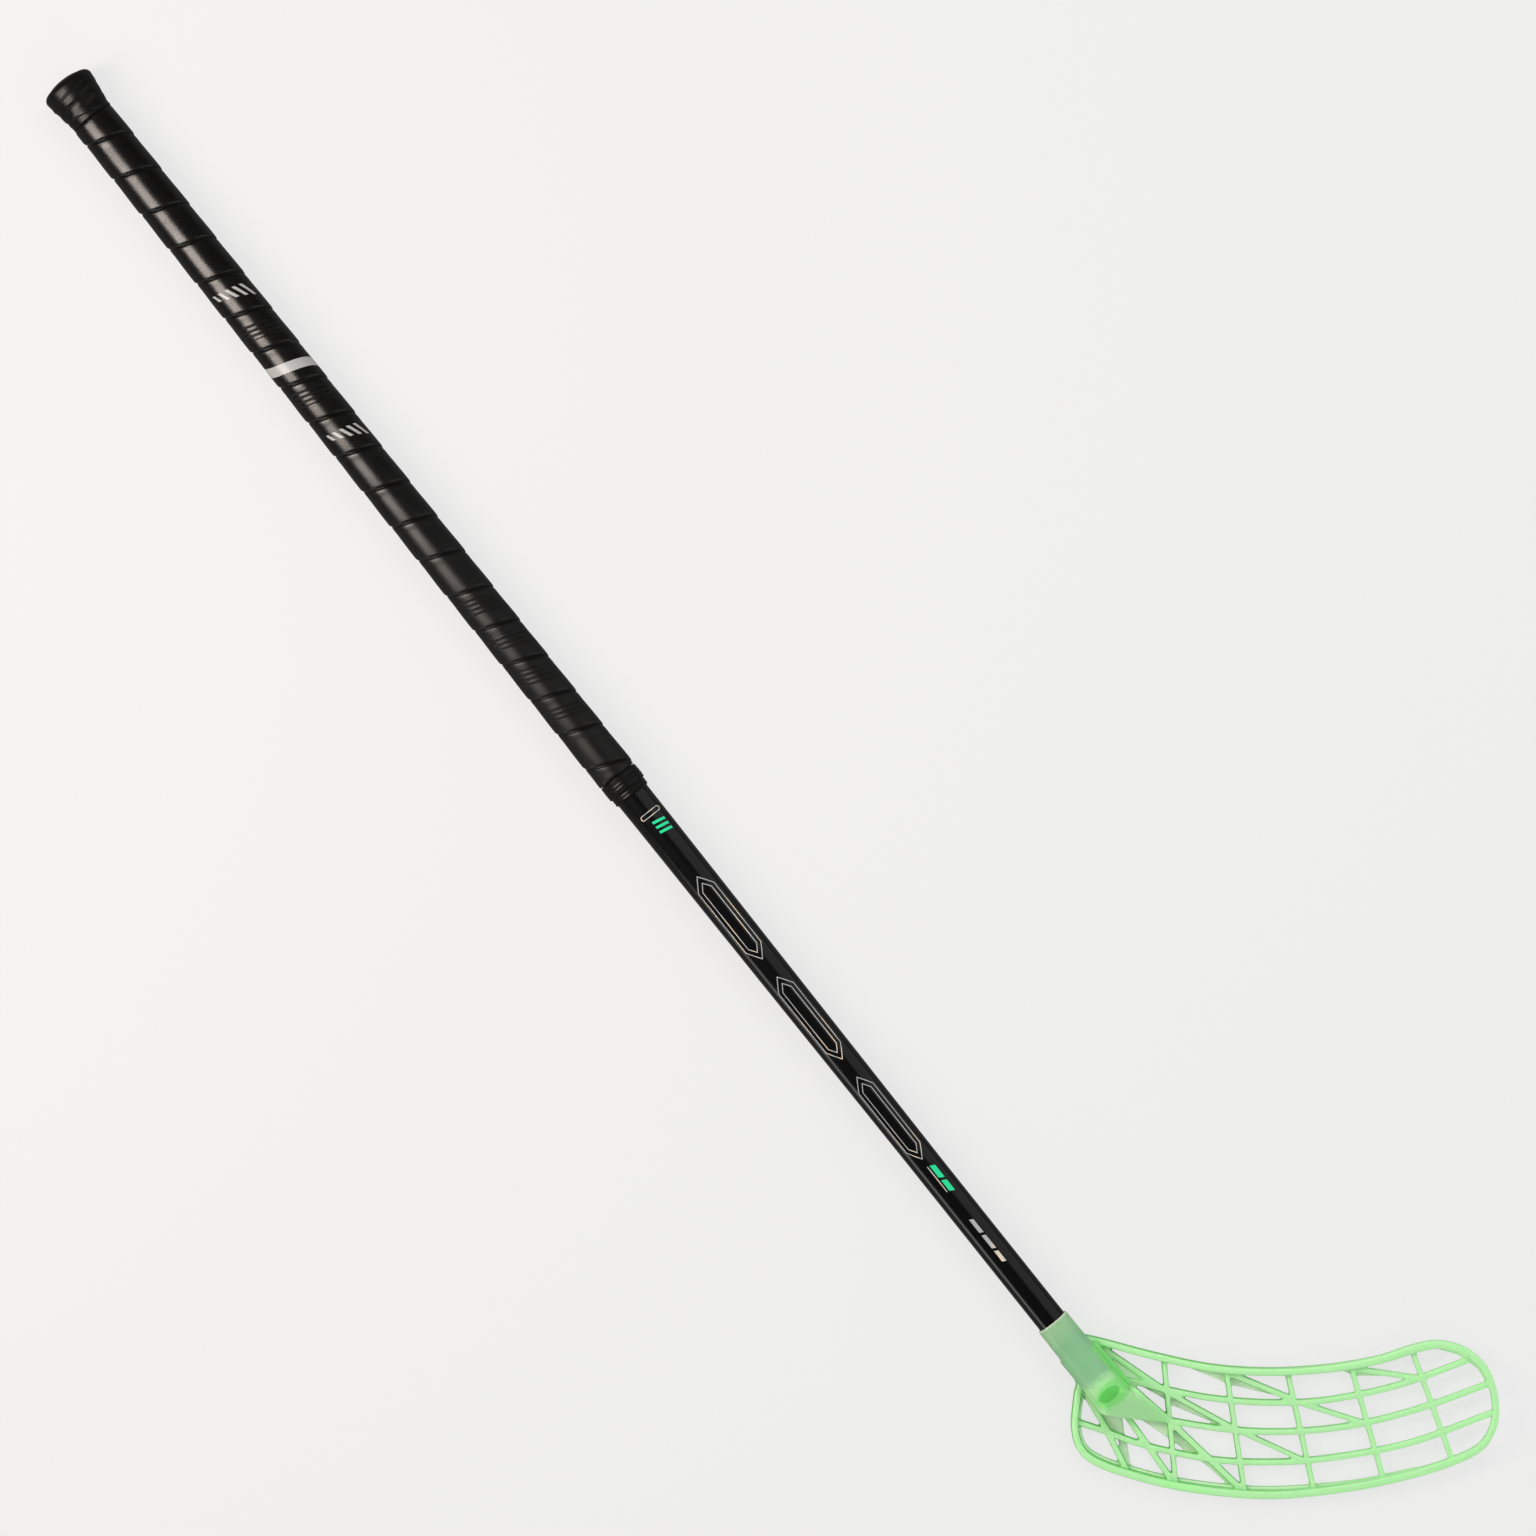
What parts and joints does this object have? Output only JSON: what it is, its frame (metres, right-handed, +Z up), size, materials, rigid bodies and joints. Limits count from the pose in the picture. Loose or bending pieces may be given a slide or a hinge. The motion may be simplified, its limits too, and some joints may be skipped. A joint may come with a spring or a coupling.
{
  "type": "floorball stick",
  "caption": "Straight tapered shaft with a wound soft grip and a rubber end cap, and at its foot a slotted, hooked blade for hitting a light ball.",
  "frame": {"origin": "middle of the end cap's crown, on the shaft's axis", "axes": "+X along the shaft towards the blade, +Y towards the side that the blade's toe points to, +Z up from the face of the blade that lies uppermost"},
  "size_m": [1.1787, 0.2255, 0.0334],
  "materials": {
    "shaft": "gloss lacquer over composite",
    "cap": "satin",
    "underlay": "matt foam",
    "band": "soft, slightly glossy",
    "collar": "satin",
    "blade": "smooth, slightly translucent"
  },
  "bodies": {
    "stick": {"shaft_tube": "shaft", "grip_underlay": "underlay", "grip_band": "band", "grip_collar": "collar"},
    "cap": {"end_cap": "cap"},
    "blade_moulding": {"blade": "blade"}
  },
  "joints": [
    {"name": "blade_pull", "type": "slide", "parent": "stick", "child": "blade_moulding", "axis": [1, 0, 0], "range_m": [0, 0.06]},
    {"name": "end_cap_pull", "type": "slide", "parent": "stick", "child": "cap", "axis": [-1, 0, 0], "range_m": [0, 0.04]}
  ]
}
